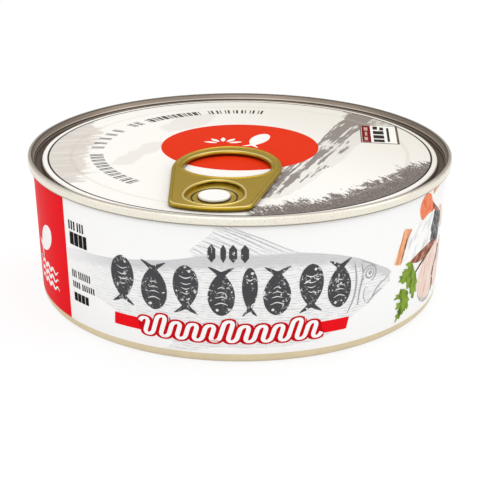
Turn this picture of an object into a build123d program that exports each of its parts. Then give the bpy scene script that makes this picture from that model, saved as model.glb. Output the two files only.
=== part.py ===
from build123d import *
from math import atan2, cos, radians, sin, tan
import os

# Sardine tin with a full-opening easy-open end. Millimetres, +Z up.
# Origin: centre of the base, on the plane that the foot ring stands on.
# The pull tab points to -Y, a little towards -X.

# Can
can_height = 34.8            # foot ring to the top of the seam
seam_radius = 51.15          # outside of the double seam
seam_width = 1.2             # radial thickness of the folded seam
seam_height = 2.2            # top of the seam to its lower edge
seam_top_round = 0.55
seam_bottom_round = 0.25
seam_overhang = 1.15         # seam stands out this far beyond the top of the wall
wall_taper = 1.0             # the wall draws in by this much from the seam to the base
corner_radius = 2.0          # rounded edge between wall and base

# Base
foot_width = 1.6             # flat ring that the can stands on
base_recess = 1.3            # height of the base panel above the foot ring
base_slope_width = 1.2       # radial width of the slope up to the base panel
base_bead_inset = 8.0        # from the edge of the base panel to its bead
base_bead_width = 2.4
base_bead_height = 0.5

# Easy-open end
plate_thickness = 0.25
panel_depth = 1.35           # top of the seam to the rim of the panel
groove_depth = 2.65          # top of the seam to the floor of the countersink
chuck_lean = 0.55            # the chuck wall leans in by this much on its way down
groove_width = 1.45          # radial width of the countersink floor
groove_lean = 0.3            # the inner wall of the countersink leans in by this much
groove_round = 0.3
panel_round = 0.2
score_inset = 1.35           # from the edge of the panel to the score line
score_width = 0.24
score_depth = 0.1
step_inset = 5.5             # from the score line to the step of the centre panel
step_width = 0.5
step_depth = 0.12
end_clearance = 0.05         # between the end and the filled body under it

# Rivet, formed from the panel
rivet_head_radius = 3.5
rivet_head_height = 0.8
rivet_head_round = 0.3
rivet_shank_radius = 2.5
rivet_clearance = 0.05       # between the rivet and the tab, all round
rivet_pad_radius = 4.6

# Pull tab
tab_length = 45.2            # ring end to nose tip
tab_thickness = 1.22         # over the curled edge
tab_sheet = 0.35             # the sheet that the tab is pressed from
tab_seat = 0.03              # gap under the tab
tab_nose_gap = 1.2           # nose tip to the score line
tab_bearing = 8.7            # the rivet stands this many degrees from -Y, towards -X
tab_skew = 1.4               # the tab is turned on its rivet by this many degrees
nose_reach = 8.7             # rivet to nose tip
nose_radius = 22.5
nose_corner_radius = 3.0
ring_half_width = 12.75      # at the widest place of the ring
ring_half_length = 16.5      # ring end to that place
side_angle = 8.3             # each side draws in towards the nose by this angle
ring_end_band = 4.6          # metal between the ring end and the finger hole
ring_side_band = 2.55        # metal beside the finger hole
hole_setback = 12.4          # rivet to the near edge of the finger hole
curl_radius = 0.5            # rounding of the curled edges
curl_width = 1.9             # width of the curled edge seen from below
dish_radius = 6.2            # floor of the round dish about the rivet
dish_slope_width = 0.7
slot_radius = 5.0            # middle of the C-shaped slot about the tongue
slot_width = 0.45
slot_sweep = 250             # degrees, open towards the nose

# Heights and radii that follow
seam_inner_radius = seam_radius - seam_width
seam_bottom = can_height - seam_height
groove_outer_radius = seam_inner_radius - chuck_lean
groove_inner_radius = groove_outer_radius - groove_width
groove_floor = can_height - groove_depth
panel_radius = groove_inner_radius - groove_lean
panel_top = can_height - panel_depth
score_radius = panel_radius - score_inset
step_radius = score_radius - step_inset
centre_top = panel_top - step_depth
wall_top_radius = seam_radius - seam_overhang
wall_base_radius = wall_top_radius - wall_taper
chuck_at_seam = seam_inner_radius - chuck_lean * seam_height / groove_depth + plate_thickness
foot_outer_radius = wall_base_radius - corner_radius
foot_inner_radius = foot_outer_radius - foot_width
base_panel_radius = foot_inner_radius - base_slope_width
base_bead_radius = base_panel_radius - base_bead_inset

tab_bottom = panel_top + tab_seat
tongue_top = tab_bottom + tab_sheet
rivet_distance = score_radius - tab_nose_gap - nose_reach
rivet_x = -rivet_distance * sin(radians(tab_bearing))
rivet_y = -rivet_distance * cos(radians(tab_bearing))
ring_centre = nose_reach - tab_length + ring_half_length


def turned(*outline):
    """Solid of revolution about Z from an outline of (radius, height) lines."""
    return revolve(Plane.XZ * make_face(Wire(outline)), Axis.Z)


def rounded_line(points, radii):
    """Line through the points with each inner corner rounded by its own radius."""
    return FilletPolyline(*points, radius=radii).edges()


def can_body():
    """Drawn body, shut and full: one solid up to just under the end."""
    under_groove = groove_floor - plate_thickness - end_clearance
    under_panel = centre_top - plate_thickness - end_clearance
    chuck_outside = chuck_at_seam + end_clearance
    groove_outside = groove_outer_radius + plate_thickness + end_clearance
    groove_inside = groove_inner_radius - plate_thickness - end_clearance
    panel_inside = panel_radius - plate_thickness - end_clearance
    underside = [
        (0, base_recess),
        (base_bead_radius - base_bead_width / 2, base_recess),
        (base_bead_radius, base_recess + base_bead_height),
        (base_bead_radius + base_bead_width / 2, base_recess),
        (base_panel_radius, base_recess),
        (foot_inner_radius, 0),
        (foot_outer_radius, 0),
    ]
    topside = [
        (wall_top_radius, seam_bottom),
        (chuck_outside, seam_bottom),
        (groove_outside, under_groove),
        (groove_inside, under_groove),
        (panel_inside, under_panel),
        (0, under_panel),
        (0, base_recess),
    ]
    base = Polyline(*underside)
    corner = RadiusArc((foot_outer_radius, 0), (wall_base_radius, corner_radius), -corner_radius)
    wall = Line((wall_base_radius, corner_radius), (wall_top_radius, seam_bottom))
    return turned(*base.edges(), *corner.edges(), *wall.edges(), *Polyline(*topside).edges())


def end_plate():
    """Seam, chuck wall, countersink and panel, with the score line and the centre step."""
    centre_under = centre_top - plate_thickness
    groove_under = groove_floor - plate_thickness
    half_score = score_width / 2
    panel = Polyline(
        (0, centre_top),
        (step_radius - step_width, centre_top),
        (step_radius, panel_top),
        (score_radius - half_score, panel_top),
        (score_radius, panel_top - score_depth),
        (score_radius + half_score, panel_top),
    )
    rim = rounded_line(
        [
            (score_radius + half_score, panel_top),
            (panel_radius, panel_top),
            (groove_inner_radius, groove_floor),
            (groove_outer_radius, groove_floor),
            (seam_inner_radius, can_height),
            (seam_radius, can_height),
            (seam_radius, seam_bottom),
            (chuck_at_seam, seam_bottom),
        ],
        [panel_round, groove_round, groove_round, seam_top_round, seam_top_round, seam_bottom_round],
    )
    underside = Polyline(
        (chuck_at_seam, seam_bottom),
        (groove_outer_radius + plate_thickness, groove_under),
        (groove_inner_radius - plate_thickness, groove_under),
        (panel_radius - plate_thickness, centre_under),
        (0, centre_under),
        (0, centre_top),
    )
    return turned(*panel.edges(), *rim, *underside.edges())


def rivet():
    """Pad, shank and flat head that hold the tab."""
    pad_height = tab_bottom - rivet_clearance - centre_top + plate_thickness
    head_bottom = tongue_top + rivet_clearance
    shank_bottom = centre_top - plate_thickness
    low = (Align.CENTER, Align.CENTER, Align.MIN)
    pad = Pos(0, 0, shank_bottom) * Cylinder(rivet_pad_radius, pad_height, align=low)
    shank_height = head_bottom + rivet_head_height - shank_bottom
    shank = Pos(0, 0, shank_bottom) * Cylinder(rivet_shank_radius, shank_height, align=low)
    head = Pos(0, 0, head_bottom) * Cylinder(rivet_head_radius, rivet_head_height, align=low)
    head = fillet(head.faces().sort_by(Axis.Z)[-1].edges(), rivet_head_round)
    return pad + shank + head


def lid_end():
    """The whole end, with its rivet."""
    return end_plate() + Pos(rivet_x, rivet_y, 0) * rivet()


def tab_outline(inset=0):
    """Outline of the tab about its rivet, nose towards +X: an oval ring end and a tapered nose."""
    half_width = ring_half_width - inset
    half_length = ring_half_length - inset
    tip = nose_reach - inset
    slope = tan(radians(side_angle))
    bearing = atan2(half_width, slope * half_length)
    side_x = ring_centre + half_length * cos(bearing)
    side_y = half_width * sin(bearing)
    nose_y = side_y - slope * (tip - side_x)
    sides = Polygon(
        (side_x, -side_y),
        (tip, -nose_y),
        (tip, nose_y),
        (side_x, side_y),
        align=None,
    )
    nose = sides & (Pos(nose_reach - nose_radius, 0) * Circle(nose_radius - inset))
    outline = nose + Pos(ring_centre, 0) * Ellipse(half_length, half_width)
    corners = outline.vertices().group_by(Axis.X)[-1]
    return fillet(corners, max(nose_corner_radius - inset, curl_radius))


def finger_hole(margin=0):
    """Oval hole, widest where the ring is widest."""
    half_width = ring_half_width - ring_side_band + margin
    far_length = ring_half_length - ring_end_band + margin
    near_length = -hole_setback - ring_centre + margin
    far = Ellipse(far_length, half_width) & Pos(-far_length, 0) * Rectangle(2 * far_length, 2 * half_width)
    near = Ellipse(near_length, half_width) & Pos(near_length, 0) * Rectangle(2 * near_length, 2 * half_width)
    return Pos(ring_centre, 0) * (far + near)


def tab_hollow():
    """Space under the sheet, inside the curled edges, between the finger hole and the dish."""
    plate = Rectangle(-ring_centre, 2 * ring_half_width, align=(Align.MIN, Align.CENTER))
    hollow = tab_outline(curl_width) & Pos(ring_centre, 0) * plate
    return hollow - finger_hole(curl_width) - Circle(dish_radius + dish_slope_width + tab_sheet)


def tongue_slot():
    """C-shaped slot that frees the tongue round the rivet."""
    start = 180 - slot_sweep / 2
    path = CenterArc((0, 0), slot_radius, start, slot_sweep)
    ends = [Pos(*(path @ place)) * Circle(slot_width / 2) for place in (0, 1)]
    ring = Circle(slot_radius + slot_width / 2) - Circle(slot_radius - slot_width / 2)
    reach = 2 * slot_radius / cos(radians(slot_sweep / 2 - 90))
    half_open = radians(180 - slot_sweep / 2)
    mouth = Polygon(
        (0, 0),
        (reach * cos(half_open), -reach * sin(half_open)),
        (reach, 0),
        (reach * cos(half_open), reach * sin(half_open)),
        align=None,
    )
    return (ring - mouth) + ends


def pull_tab():
    """Pressed tab with curled edges, hollow below, a dish about the rivet and a slotted tongue."""
    blank = extrude(tab_outline() - finger_hole(), tab_thickness)
    faces = blank.faces().sort_by(Axis.Z)
    blank = fillet(faces[0].edges() + faces[-1].edges(), curl_radius)

    dish_depth = tab_thickness - tab_sheet
    blank -= extrude(tab_hollow(), dish_depth)
    dish = Cone(
        dish_radius,
        dish_radius + dish_slope_width,
        dish_depth,
        align=(Align.CENTER, Align.CENTER, Align.MIN),
    )
    blank -= Pos(0, 0, tab_sheet) * dish
    blank -= extrude(Circle(rivet_shank_radius + rivet_clearance), tab_thickness)
    blank -= extrude(tongue_slot(), tab_thickness)
    heading = -90 - tab_bearing + tab_skew
    return Pos(rivet_x, rivet_y, tab_bottom) * Rot(0, 0, heading) * blank


os.makedirs("parts", exist_ok=True)
for node in (can_body, lid_end, pull_tab):
    export_step(node(), f"parts/{node.__name__}.step")
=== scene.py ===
from contextlib import contextmanager
import math

import bpy
from bpy.props import FloatProperty, FloatVectorProperty, IntProperty, PointerProperty
from bpy.types import Operator, Panel, PropertyGroup
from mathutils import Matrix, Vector


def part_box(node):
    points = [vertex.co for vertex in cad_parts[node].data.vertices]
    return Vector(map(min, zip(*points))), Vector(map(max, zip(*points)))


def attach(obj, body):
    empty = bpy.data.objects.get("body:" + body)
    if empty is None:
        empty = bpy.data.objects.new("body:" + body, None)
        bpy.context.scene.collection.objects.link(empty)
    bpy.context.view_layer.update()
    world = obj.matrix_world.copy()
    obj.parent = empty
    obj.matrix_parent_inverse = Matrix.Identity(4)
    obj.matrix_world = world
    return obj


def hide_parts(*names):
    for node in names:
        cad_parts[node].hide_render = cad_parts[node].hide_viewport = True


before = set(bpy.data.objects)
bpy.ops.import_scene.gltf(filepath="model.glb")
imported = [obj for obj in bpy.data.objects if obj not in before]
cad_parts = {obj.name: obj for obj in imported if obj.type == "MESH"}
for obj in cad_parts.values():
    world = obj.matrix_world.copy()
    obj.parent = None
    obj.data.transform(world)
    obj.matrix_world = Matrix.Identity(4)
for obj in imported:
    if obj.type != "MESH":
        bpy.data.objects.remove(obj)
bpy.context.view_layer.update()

bl_info = {
    "name": "Sardine Tin",
    "version": (1, 0, 0),
    "blender": (4, 5, 0),
    "location": "3D Viewport > Sidebar > Sardine Tin",
    "description": "Builds a printed sardine tin with a pull-tab end on its CAD frame",
    "category": "Object",
}

MM = 0.001
END_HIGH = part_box("lid_end")[1]
TAB_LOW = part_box("pull_tab")[0]


# ---------------------------------------------------------------- settings

def measure(label, value, note):
    """Length property, given in millimetres and kept in metres."""
    return FloatProperty(name=label, description=note, default=value * MM, unit="LENGTH", precision=5)


def linear(code):
    """Linear colour from six hexadecimal sRGB digits."""
    parts = [int(code[i:i + 2], 16) / 255 for i in (0, 2, 4)]
    return [c / 12.92 if c <= 0.04045 else ((c + 0.055) / 1.055) ** 2.4 for c in parts]


def ink(label, code, note):
    """Colour property, given as hexadecimal sRGB digits."""
    return FloatVectorProperty(
        name=label, description=note, subtype="COLOR", size=3, min=0, max=1, default=linear(code)
    )


class TinSizes(PropertyGroup):
    """Sizes of the tin and of its print."""

    can_height: measure("Can height", END_HIGH.z / MM, "Foot ring to the top of the seam")
    seam_radius: measure("Seam radius", END_HIGH.x / MM, "Outside of the double seam")
    seam_width: measure("Seam width", 1.2, "Radial thickness of the folded seam")
    seam_height: measure("Seam height", 2.2, "Top of the seam to its lower edge")
    wall_top: measure("Wall radius, top", 50.0, "Outside of the wall under the seam")
    wall_base: measure("Wall radius, base", 49.0, "Outside of the wall at the base")
    corner: measure("Base corner", 2.0, "Rounding between the wall and the base")
    base_recess: measure("Base recess", 1.3, "Base panel above the foot ring")
    panel_depth: measure("Panel depth", 1.35, "Top of the seam to the rim of the panel")
    groove_depth: measure("Countersink depth", 2.65, "Top of the seam to the countersink floor")
    panel_radius: measure("Panel radius", 47.65, "Rim of the panel")
    score_radius: measure("Score radius", 46.3, "Circle of the score line")
    step_radius: measure("Step radius", 40.8, "Edge of the lowered centre panel")
    step_depth: measure("Step depth", 0.12, "Depth of the lowered centre panel")
    rivet_x: measure("Rivet X", -5.506, "Place of the rivet")
    rivet_y: measure("Rivet Y", -35.981, "Place of the rivet")
    rivet_head: measure("Rivet head radius", 3.5, "Outside of the rivet head")
    tab_heading: FloatProperty(
        name="Tab heading", description="Direction of the tab's nose from +X",
        default=math.radians(-97.3), subtype="ANGLE",
    )
    band_height: measure("Bare band", 2.5, "Unprinted band above the foot ring")
    film: measure("Print thickness", 0.03, "One layer of print")
    lathe_steps: IntProperty(
        name="Lathe steps", description="Sides of each turned piece", default=256, min=32, max=512
    )


class TinColours(PropertyGroup):
    """Colours of the coatings and of the print."""

    white: ink("Enamel white", "f9f9f8", "Ground colour of the wall")
    lacquer: ink("Lacquer", "dccdab", "Bare band and base")
    seam: ink("Seam", "efe9db", "Coated seam")
    # The chuck wall's grey-brown is partly its metal and partly painted reflection of dark surroundings.
    chuck: ink("Chuck wall", "9d8f82", "Inner wall beside the seam")
    panel: ink("Panel", "faf7f1", "Ground colour of the end")
    brush: ink("Brush grey", "d3cbc2", "Light brushed art on the end")
    crag: ink("Crag grey", "847a74", "Dark brushed art on the end")
    # The score colour is painted shade: it darkens the groove of the score line.
    score: ink("Score", "2c241e", "Score line")
    gold: ink("Gold lacquer", "ad8f1a", "Pull tab")
    rivet: ink("Rivet", "fbfaf6", "Rivet head")
    red: ink("Print red", "ea1620", "Strip and ribbon")
    disc: ink("Disc red", "e43514", "Disc on the end")
    deep_red: ink("Outline red", "c4101a", "Outline round the wave")
    charcoal: ink("Charcoal", "4b4b4d", "Row of sardines")
    black: ink("Black", "1d1b1b", "Small marks")
    silver: ink("Fish grey", "c4c4c6", "Back of the big fish")


def size(name):
    """One of the sizes, in millimetres."""
    return getattr(bpy.context.scene.tin_sizes, name) / MM


def dye(hue):
    """RGBA of a named colour of the tin or of six hexadecimal digits. Anything else stays as it is."""
    if not isinstance(hue, str):
        return hue
    return (*(getattr(bpy.context.scene.tin_colours, hue, None) or linear(hue)), 1.0)


def shade(hue, factor):
    """The colour made darker or lighter by a factor."""
    return (*(min(1.0, c * factor) for c in dye(hue)[:3]), 1.0)


class Tab:
    """Sizes of the pull tab in millimetres, about its rivet with the nose towards +X."""

    thickness, sheet, roll = 1.22, 0.35, 0.5
    nose_reach, nose_radius, nose_corner = 8.7, 22.5, 3.0
    centre, half_length, half_width = -20.0, 16.5, 12.75
    side_angle = math.radians(8.3)
    side_band, hole_front, hole_back = 2.55, 7.6, 11.9
    dish, dish_back = 6.35, 9.6
    slot_radius, slot_back, slot_half = 5.0, 6.2, 0.13
    slot_sweep = math.radians(250)
    rivet_hole = 2.55


# ---------------------------------------------------------------- shader maths

def arithmetic(operation, swapped=False):
    """Method that adds one Math node for a wire and another value."""
    def act(self, other):
        return self.math(operation, *((other, self) if swapped else (self, other)))
    return act


class Wire:
    """An output socket of a material. Arithmetic on it adds Math nodes."""

    def __init__(self, tree, socket=None):
        self.tree = tree
        self.socket = socket

    def node(self, kind, settings=None, inputs=(), output=0):
        """Any node: its settings first, then the values or links of its sockets."""
        made = self.tree.nodes.new(kind)
        for key, value in (settings or {}).items():
            setattr(made, key, value)
        for key, value in inputs.items() if isinstance(inputs, dict) else enumerate(inputs):
            if isinstance(value, Wire):
                self.tree.links.new(value.socket, made.inputs[key])
            else:
                made.inputs[key].default_value = value
        return Wire(self.tree, made.outputs[output])

    def math(self, operation, *values):
        return self.node("ShaderNodeMath", {"operation": operation}, values)

    __add__ = __radd__ = arithmetic("ADD")
    __mul__ = __rmul__ = arithmetic("MULTIPLY")
    __sub__ = arithmetic("SUBTRACT")
    __rsub__ = arithmetic("SUBTRACT", swapped=True)
    __truediv__ = arithmetic("DIVIDE")
    __pow__ = arithmetic("POWER")
    most = arithmetic("MAXIMUM")
    least = arithmetic("MINIMUM")

    def size(self):
        return self.math("ABSOLUTE", self)

    def wave(self):
        return self.math("SINE", self)

    def ramp(self, low, high):
        """0 below low and 1 above high, smooth between."""
        spans = {"Value": self, "From Min": low, "From Max": high}
        return self.node("ShaderNodeMapRange", {"interpolation_type": "SMOOTHSTEP"}, spans)

    def line(self, middle, near, far):
        """1 within near of the middle, 0 beyond far."""
        return 1 - (self - middle).size().ramp(near, far)

    def blend(self, start, end):
        """Colour between start and end, with this wire as the factor."""
        ends = {0: self, 6: dye(start), 7: dye(end)}
        return self.node("ShaderNodeMix", {"data_type": "RGBA"}, ends, 2)

    def rays(self, *kinds):
        """1 for the named kinds of light ray and 0 for the others."""
        seen = [self.node("ShaderNodeLightPath", output=f"Is {kind} Ray") for kind in kinds]
        return sum(seen[1:], seen[0]).least(1.0)


class Finish:
    """A material in the making, with the places on the tin that its patterns need."""

    def __init__(self, name, metallic=0.0, roughness=0.35, coat=0.0, shine=0.04):
        self.material = bpy.data.materials.new(name)
        self.material.use_nodes = True
        tree = self.material.node_tree
        self.wire = Wire(tree)
        self.shader = tree.nodes["Principled BSDF"]
        self.set("Metallic", metallic)
        self.set("Roughness", roughness)
        self.set("Specular IOR Level", shine)
        self.set("Coat Weight", coat)
        self.set("Coat Roughness", 0.15)
        place = self.wire.node("ShaderNodeTexCoord", output="Object")
        self.place = self.wire.node(
            "ShaderNodeVectorMath", {"operation": "SCALE"}, {0: place, "Scale": 1 / MM}
        )
        split = self.wire.node("ShaderNodeSeparateXYZ", inputs={0: self.place})
        self.x, self.y, self.z = (Wire(tree, out) for out in split.socket.node.outputs)

    def set(self, name, value):
        socket = self.shader.inputs[name]
        if isinstance(value, Wire):
            self.wire.tree.links.new(value.socket, socket)
        else:
            socket.default_value = value

    def radius(self):
        return (self.x * self.x + self.y * self.y) ** 0.5

    def bearing(self):
        """Angle about the axis, from the front towards +X."""
        return self.wire.math("ARCTAN2", self.x, 0.0 - self.y)

    def around(self):
        """Distance round the wall from its front."""
        return self.bearing() * size("wall_top")

    def unrolled(self):
        """Place on the wall as if it were flat: distance round, height."""
        return self.wire.node("ShaderNodeCombineXYZ", inputs={"X": self.around(), "Y": self.z})

    def noise(self, feature, detail=3.0, rough=0.55, place=None):
        """Noise from 0 to 1 whose lumps are about feature millimetres wide."""
        sockets = {"Vector": place or self.place, "Scale": 1 / feature, "Detail": detail, "Roughness": rough}
        return self.wire.node("ShaderNodeTexNoise", None, sockets, "Fac")

    def stretched(self, turn, long, place=None):
        """The place turned by an angle and drawn out along its own X."""
        mapped = {"Vector": place or self.place, "Rotation": (0, 0, turn), "Scale": (long, 1, 1)}
        return self.wire.node("ShaderNodeMapping", {"vector_type": "TEXTURE"}, mapped)

    def drawn(self, feature, detail, rough, long):
        """Noise drawn out round the tin, as tools leave it."""
        return self.noise(feature, detail, rough, self.stretched(0.0, long, self.unrolled()))

    def ground(self, hue, low, high, grain):
        """Starts the tone with a colour that the grain makes darker or lighter."""
        self.tone = grain.blend(shade(hue, low), shade(hue, high))

    def over(self, mask, hue, share=None):
        """Lays a colour over the tone where the mask is 1."""
        self.tone = (mask * share if share else mask).blend(self.tone, hue)

    def done(self, gloss=None, low=0.3, spread=0.1, relief=None, depth=0.01, strength=0.5):
        """Connects the tone, the uneven gloss and the fine relief, and gives the material."""
        self.set("Base Color", self.tone)
        if gloss:
            self.set("Roughness", low + gloss * spread)
        sockets = {"Height": relief or gloss, "Distance": depth * MM, "Strength": strength}
        self.set("Normal", self.wire.node("ShaderNodeBump", None, sockets))
        return self.material


# ---------------------------------------------------------------- modelling helpers

def start_clean():
    """Object mode, with nothing selected."""
    if bpy.context.mode != "OBJECT":
        bpy.ops.object.mode_set(mode="OBJECT")
    bpy.ops.object.select_all(action="DESELECT")


def only(piece, *others):
    """Makes the piece active and selects it, with any others."""
    start_clean()
    for each in (piece, *others):
        each.select_set(True)
    bpy.context.view_layer.objects.active = piece


@contextmanager
def editing(piece):
    """Edit mode on one piece, with all of it selected."""
    only(piece)
    bpy.ops.object.mode_set(mode="EDIT")
    bpy.ops.mesh.select_all(action="SELECT")
    yield
    bpy.ops.object.mode_set(mode="OBJECT")


def seal(gap):
    """Merges doubled points in edit mode, and turns the faces outward."""
    bpy.ops.mesh.select_all(action="SELECT")
    bpy.ops.mesh.remove_doubles(threshold=gap)
    bpy.ops.mesh.normals_make_consistent(inside=False)


def named(name):
    """The active object, under its name."""
    piece = bpy.context.object
    piece.name = name
    piece.data.name = name
    return piece


def joined(piece, *others):
    """Joins the others into the piece."""
    only(piece, *others)
    bpy.ops.object.join()
    return piece


def apply_place(piece):
    only(piece)
    bpy.ops.object.transform_apply(location=True, rotation=True, scale=True)


def apply_modifier(piece, kind, **settings):
    only(piece)
    modifier = piece.modifiers.new(kind.title(), kind)
    for key, value in settings.items():
        setattr(modifier, key, value)
    bpy.ops.object.modifier_apply(modifier=modifier.name)


def smooth(piece, degrees=35):
    only(piece)
    bpy.ops.object.shade_smooth_by_angle(angle=math.radians(degrees))


def finish_piece(piece, slot, *materials, node=None):
    """Gives a piece its materials, sets it under the frame's root body and hides the CAD node it stands for,
    when one is named.
    """
    piece.data.materials.clear()
    for made in materials:
        piece.data.materials.append(made)
    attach(piece, "root")
    if node:
        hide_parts(node)


def paint_faces(piece, choose):
    """Gives each face the material that choose(distance from the axis, height, normal) picks."""
    for face in piece.data.polygons:
        x, y, z = face.center / MM
        face.material_index = choose(math.hypot(x, y), z, face.normal)


def lathe(name, line, steps=None):
    """Closed turned shell: the (radius, height) line in millimetres is drawn and spun about Z."""
    start_clean()
    bpy.ops.mesh.primitive_plane_add(size=MM)
    piece = named(name)
    with editing(piece):
        bpy.ops.mesh.merge(type="CENTER")
        here = Vector((0, 0, 0))
        for index, (x, z) in enumerate(line):
            move = Vector((x, 0, z)) * MM - here
            here += move
            if index:
                bpy.ops.mesh.extrude_region_move(TRANSFORM_OT_translate={"value": move})
            else:
                bpy.ops.transform.translate(value=move)
        bpy.ops.mesh.select_all(action="SELECT")
        bpy.ops.mesh.spin(
            steps=steps or bpy.context.scene.tin_sizes.lathe_steps, angle=math.tau,
            center=(0, 0, 0), axis=(0, 0, 1),
        )
        seal(1e-6)
    smooth(piece)
    return piece


def linked(name, data):
    """New object for the data, in the scene and active."""
    piece = bpy.data.objects.new(name, data)
    bpy.context.scene.collection.objects.link(piece)
    only(piece)
    return piece


def flat(name, loops):
    """Flat sheet in X and Y, in millimetres, cut to closed loops. A loop inside another is a hole."""
    curve = bpy.data.curves.new(name, "CURVE")
    curve.dimensions = "2D"
    curve.fill_mode = "BOTH"
    for loop in loops:
        spline = curve.splines.new("POLY")
        spline.points.add(len(loop) - 1)
        for point, (x, y) in zip(spline.points, loop):
            point.co = (x, y, 0, 1)
        spline.use_cyclic_u = True
    linked(name, curve)
    bpy.ops.object.convert(target="MESH")
    piece = named(name)
    with editing(piece):
        seal(1e-4)
    if sum(face.normal.z for face in piece.data.polygons) < 0:
        with editing(piece):
            bpy.ops.mesh.flip_normals()
    return piece


def cut_across(piece, pitch, axis=0):
    """Cuts a flat sheet into strips one pitch wide, so that it can bend."""
    spots = [vertex.co[axis] for vertex in piece.data.vertices]
    across = Vector((axis == 0, axis == 1, 0))
    with editing(piece):
        for index in range(math.floor(min(spots) / pitch) + 1, math.ceil(max(spots) / pitch)):
            bpy.ops.mesh.select_all(action="SELECT")
            bpy.ops.mesh.bisect(plane_co=across * (index * pitch), plane_no=across)


def finish_print(piece, slot, layer, finish):
    """Gives a sheet the thickness of its layer, down into the surface under it, and its ink."""
    apply_modifier(piece, "SOLIDIFY", thickness=(size("film") * layer + 0.02) * MM, offset=-1.0)
    smooth(piece, 30)
    finish_piece(piece, slot, finish)


def wall_print(name, loops, finish, layer=1, pitch=1.2):
    """Print on the wall: loops of (distance round, height) wrapped round it."""
    piece = flat(name, loops)
    cut_across(piece, pitch)
    radius = size("wall_top")
    spots = [vertex.co.x for vertex in piece.data.vertices]
    piece.rotation_euler = (math.radians(90), 0, 0)
    apply_place(piece)
    apply_modifier(
        piece, "SIMPLE_DEFORM", deform_method="BEND", deform_axis="Z",
        angle=(max(spots) - min(spots)) / radius,
    )
    piece.scale = (MM, MM, MM)
    piece.location = (0, -radius * MM, 0)
    apply_place(piece)
    apply_modifier(
        piece, "SHRINKWRAP", target=bpy.data.objects["body_shell"], wrap_method="NEAREST_SURFACEPOINT",
        wrap_mode="ABOVE_SURFACE", offset=size("film") * layer * MM,
    )
    finish_print(piece, "body_print", layer, finish)


def lid_print(name, loops, finish, layer=1, pitch=None):
    """Print on the end: loops of (X, Y) laid on the panel. With a pitch it bends over the step."""
    piece = flat(name, loops)
    if pitch:
        cut_across(piece, pitch, 0)
        cut_across(piece, pitch, 1)
    piece.scale = (MM, MM, MM)
    lowered = size("panel_depth") + size("step_depth") - size("film") * layer
    piece.location.z = (size("can_height") - (0 if pitch else lowered)) * MM
    apply_place(piece)
    if pitch:
        apply_modifier(
            piece, "SHRINKWRAP", target=bpy.data.objects["end_shell"], wrap_method="PROJECT",
            use_project_z=True, use_negative_direction=True, use_positive_direction=False,
            wrap_mode="ABOVE_SURFACE", offset=(size("film") * layer + 0.02) * MM,
        )
    finish_print(piece, "end_coating", layer, finish)


# ---------------------------------------------------------------- drawing helpers

def arc(x, y, rx, ry, first, last, count, back=None):
    """Points along part of an oval, whose reach towards -X can differ."""
    line = []
    for index in range(count):
        angle = first + (last - first) * index / (count - 1)
        reach = back if back and math.cos(angle) < 0 else rx
        line.append((x + reach * math.cos(angle), y + ry * math.sin(angle)))
    return line


def oval(x, y, rx, ry=None, points=48, back=None):
    return arc(x, y, rx, ry or rx, 0, math.tau * (points - 1) / points, points, back)


def block(x0, y0, x1, y1):
    return [(x0, y0), (x1, y0), (x1, y1), (x0, y1)]


def placed(loop, x, y, turn):
    """A loop turned and moved."""
    cos, sin = math.cos(turn), math.sin(turn)
    return [(x + u * cos - v * sin, y + u * sin + v * cos) for u, v in loop]


def rounded(corners, points=7):
    """Line through (radius, height, rounding) corners, each rounding drawn as an arc."""
    line = []
    for index, (x, z, rounding) in enumerate(corners):
        if not rounding:
            line.append((x, z))
            continue
        here = Vector((x, z))
        back = (Vector(corners[index - 1][:2]) - here).normalized()
        onward = (Vector(corners[index + 1][:2]) - here).normalized()
        half = back.angle(onward) / 2
        centre = here + (back + onward).normalized() * rounding / math.sin(half)
        begin = here + back * rounding / math.tan(half) - centre
        end = here + onward * rounding / math.tan(half) - centre
        first = math.atan2(begin.y, begin.x)
        sweep = (math.atan2(end.y, end.x) - first + math.pi) % math.tau - math.pi
        line += arc(*centre, rounding, rounding, first, first + sweep, points)
    return line


def flowing(points, closed=True, steps=6):
    """Smooth line through the points."""
    count = len(points)
    line = []
    for index in range(count if closed else count - 1):
        near = [index + k for k in (-1, 0, 1, 2)]
        near = [k % count if closed else min(max(k, 0), count - 1) for k in near]
        a, b, c, d = (Vector(points[k]) for k in near)
        for step in range(steps):
            t = step / steps
            spot = 0.5 * (2 * b + (c - a) * t + (2 * a - 5 * b + 4 * c - d) * t * t
                          + (3 * b - a - 3 * c + d) * t * t * t)
            line.append(tuple(spot))
    return line if closed else [*line, tuple(points[-1])]


def widened(points, half):
    """Closed loop round a line. half(share of the way, direction) is half its width."""
    left, right = [], []
    last = len(points) - 1
    for index, point in enumerate(points):
        along = Vector(points[min(index + 1, last)]) - Vector(points[max(index - 1, 0)])
        along.normalize()
        across = Vector((-along.y, along.x)) * half(index / last, along)
        left.append(tuple(Vector(point) + across))
        right.append(tuple(Vector(point) - across))
    return left + right[::-1]


def stroke(points, width, taper=0.35):
    """Loop round a line, full width in its middle and thinner at its ends."""
    return widened(
        points, lambda part, along: width / 2 * (taper + (1 - taper) * math.sin(math.pi * part))
    )


def swept(points, width):
    """Stroke along a smooth line through the points."""
    return stroke(flowing(points, closed=False), width)


def moved_in(loop, inset):
    """The loop moved to the left of its own direction by inset, with even corners."""
    moved = []
    for index, point in enumerate(loop):
        here = Vector(point)
        before = (here - Vector(loop[index - 1])).normalized()
        after = (Vector(loop[(index + 1) % len(loop)]) - here).normalized()
        across = Vector((-before.y - after.y, before.x + after.x)).normalized()
        even = max(0.3, across.dot(Vector((-after.y, after.x))))
        moved.append(tuple(here + across * inset / even))
    return moved


# ---------------------------------------------------------------- finishes

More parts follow.
